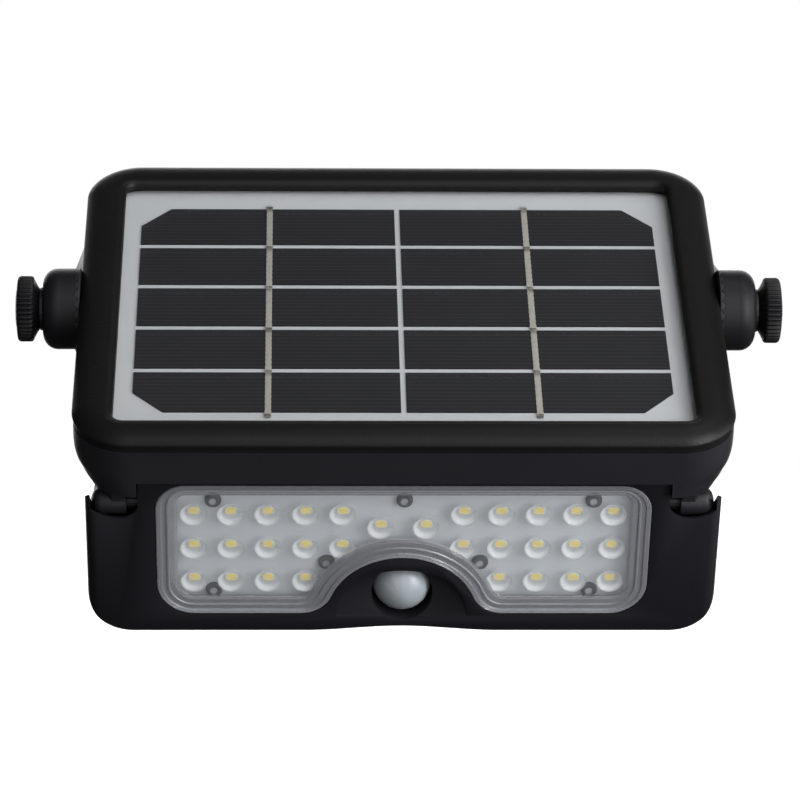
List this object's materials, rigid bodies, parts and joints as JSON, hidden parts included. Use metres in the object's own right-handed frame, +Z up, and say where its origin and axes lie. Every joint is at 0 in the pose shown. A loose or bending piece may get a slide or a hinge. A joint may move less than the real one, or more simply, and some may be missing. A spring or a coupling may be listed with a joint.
{
  "type": "solar flood light",
  "caption": "Wall-mounted solar flood light with a framed solar panel, a fold-out LED lamp with a motion sensor, and a toothed yoke bracket clamped by thumb screws.",
  "frame": {"origin": "centre of the wall plate's back face", "axes": "+Z up the wall, +Y into the wall, -Y is the front the light faces, +X to the right seen from the front"},
  "size_m": [0.2202, 0.1353, 0.134],
  "materials": {
    "black_housing": "fine spark-eroded texture, satin",
    "black_bezel": "fine spark-eroded texture, satin",
    "knob_plastic": "matte",
    "panel_glass": "clear, smooth",
    "backsheet_white": "white sheet under clear laminate",
    "silicon": "near-black anti-reflection coat with fine silver fingers",
    "tinned_copper": "dull solder-coated strip",
    "rubber_black": "matte",
    "clear_lens": "clear moulded acrylic",
    "board_white": "white solder mask",
    "board_green": "green solder mask",
    "steel": "zinc plated",
    "brass": "turned",
    "sensor_plastic": "milky translucent polyethylene",
    "cell_wrap": "heat-shrink sleeve",
    "cable_jacket": "satin jacket",
    "grey_plastic": "matte"
  },
  "bodies": {
    "bracket": {"wall_bracket": "black_housing"},
    "left_washer": {"left_knob_washer": "steel"},
    "left_knob": {"left_knob_head": "knob_plastic", "left_knob_stud": "steel"},
    "right_washer": {"right_knob_washer": "steel"},
    "right_knob": {"right_knob_head": "knob_plastic", "right_knob_stud": "steel"},
    "head": {"panel_bezel": "black_bezel", "solar_glass": "panel_glass", "solar_backsheet": "backsheet_white", "cell_ribbon_left": "tinned_copper", "cell_ribbon_right": "tinned_copper", "panel_gasket": "rubber_black", "panel_shell": "black_housing", "thread_insert_left": "brass", "thread_insert_right": "brass", "terminal_board": "board_green", "panel_cable": "cable_jacket", "solar_cell_left_1": "silicon", "solar_cell_right_1": "silicon", "solar_cell_left_2": "silicon", "solar_cell_right_2": "silicon", "solar_cell_left_3": "silicon", "solar_cell_right_3": "silicon", "solar_cell_left_4": "silicon", "solar_cell_right_4": "silicon", "solar_cell_left_5": "silicon", "solar_cell_right_5": "silicon"},
    "lamp": {"lamp_housing": "black_housing", "lamp_rear_cover": "black_housing", "lens_cover": "clear_lens", "lens_gasket": "rubber_black", "led_board": "board_white", "sensor_dome": "sensor_plastic", "sensor_can": "steel", "control_board": "board_green", "battery_cell": "cell_wrap", "battery_cradle": "grey_plastic", "hinge_sleeve_left": "steel", "hinge_sleeve_right": "steel", "lamp_cable": "cable_jacket", "board_screw_1": "steel", "board_screw_2": "steel", "board_screw_3": "steel", "board_screw_4": "steel", "board_screw_5": "steel", "board_screw_6": "steel", "board_screw_7": "steel", "rear_screw_1": "steel", "rear_screw_2": "steel", "rear_screw_3": "steel", "rear_screw_4": "steel"},
    "mode_button": {"mode_button": "rubber_black"}
  },
  "joints": [
    {"name": "head_tilt", "type": "hinge", "parent": "bracket", "child": "head", "pos_m": [0, -0.07, 0], "axis": [1, 0, 0], "range_deg": [-60, 45]},
    {"name": "lamp_fold", "type": "hinge", "parent": "head", "child": "lamp", "pos_m": [0, -0.11494, -0.05366], "axis": [-1, 0, 0], "range_deg": [0, 45]},
    {"name": "left_knob_travel", "type": "slide", "parent": "bracket", "child": "left_washer", "axis": [-1, 0, 0], "range_m": [0, 0.0016]},
    {"name": "left_knob_turn", "type": "hinge", "parent": "left_washer", "child": "left_knob", "pos_m": [-0.105, -0.07, 0], "axis": [-1, 0, 0], "range_deg": [0, 720]},
    {"name": "right_knob_travel", "type": "slide", "parent": "bracket", "child": "right_washer", "axis": [1, 0, 0], "range_m": [0, 0.0016]},
    {"name": "right_knob_turn", "type": "hinge", "parent": "right_washer", "child": "right_knob", "pos_m": [0.105, -0.07, 0], "axis": [1, 0, 0], "range_deg": [0, 720]},
    {"name": "mode_button_press", "type": "slide", "parent": "lamp", "child": "mode_button", "axis": [0, -0.809, -0.5878], "range_m": [0, 0.001], "stiffness_N_per_m": 400}
  ],
  "couplings": [
    {"joint": "left_knob_travel", "follows": "left_knob_turn", "m_per_rad": 0.00012732},
    {"joint": "right_knob_travel", "follows": "right_knob_turn", "m_per_rad": 0.00012732}
  ]
}
